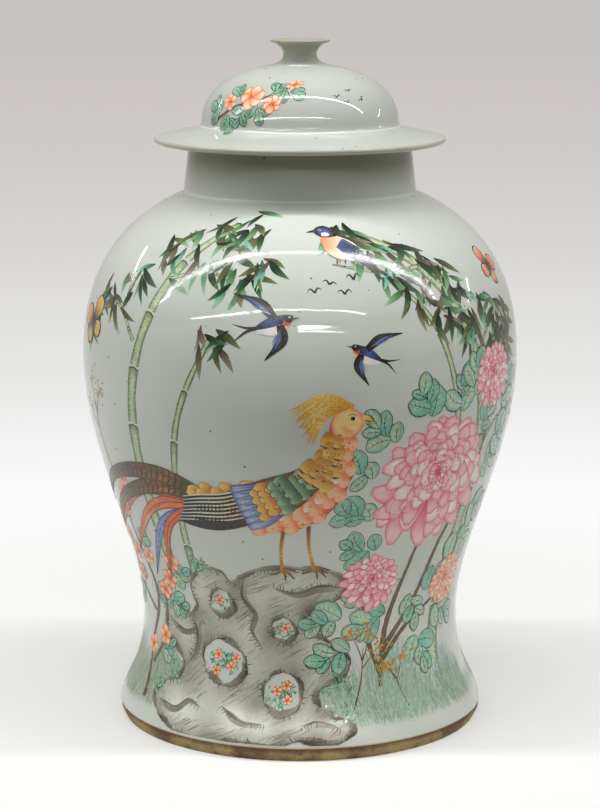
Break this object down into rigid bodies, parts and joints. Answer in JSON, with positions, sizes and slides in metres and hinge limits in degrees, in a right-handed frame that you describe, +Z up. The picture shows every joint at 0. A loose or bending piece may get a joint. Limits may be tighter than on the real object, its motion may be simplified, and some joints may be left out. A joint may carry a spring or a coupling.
{
  "type": "porcelain lidded jar",
  "caption": "Large porcelain baluster jar with a short neck, a bare foot ring and a domed lid with a wide brim and flared knob, painted with birds and flowers.",
  "frame": {"origin": "centre of the foot ring on its standing face", "axes": "+Z up along the jar's axis of revolution; the front of the painting faces -Y and +X is to its right"},
  "size_m": [0.2452, 0.2452, 0.3829],
  "materials": {
    "jar_glaze": "glossy pale blue-green white glaze with faint throwing rings and iron specks",
    "lid_glaze": "glossy pale blue-green white glaze, warmer where it is thin on the edges",
    "foot_biscuit": "bare fired foot ring, brown and rubbed",
    "enamel_green": "glossy overglaze enamel, turquoise to leaf green",
    "enamel_pink": "glossy overglaze enamel, rose pink shaded to white",
    "enamel_coral": "thin overglaze enamel, coral to iron red",
    "enamel_yellow": "thin overglaze enamel, ochre yellow",
    "enamel_blue": "thin overglaze enamel, soft blue",
    "enamel_grey": "thin overglaze enamel wash, grey",
    "enamel_black": "thin brush line, brown-black"
  },
  "bodies": {
    "jar": {"jar_body": "jar_glaze"},
    "lid": {"lid": "lid_glaze"}
  },
  "joints": [
    {"name": "lid_lift", "type": "slide", "parent": "jar", "child": "lid", "axis": [0, 0, 1], "range_m": [0, 0.12]}
  ]
}
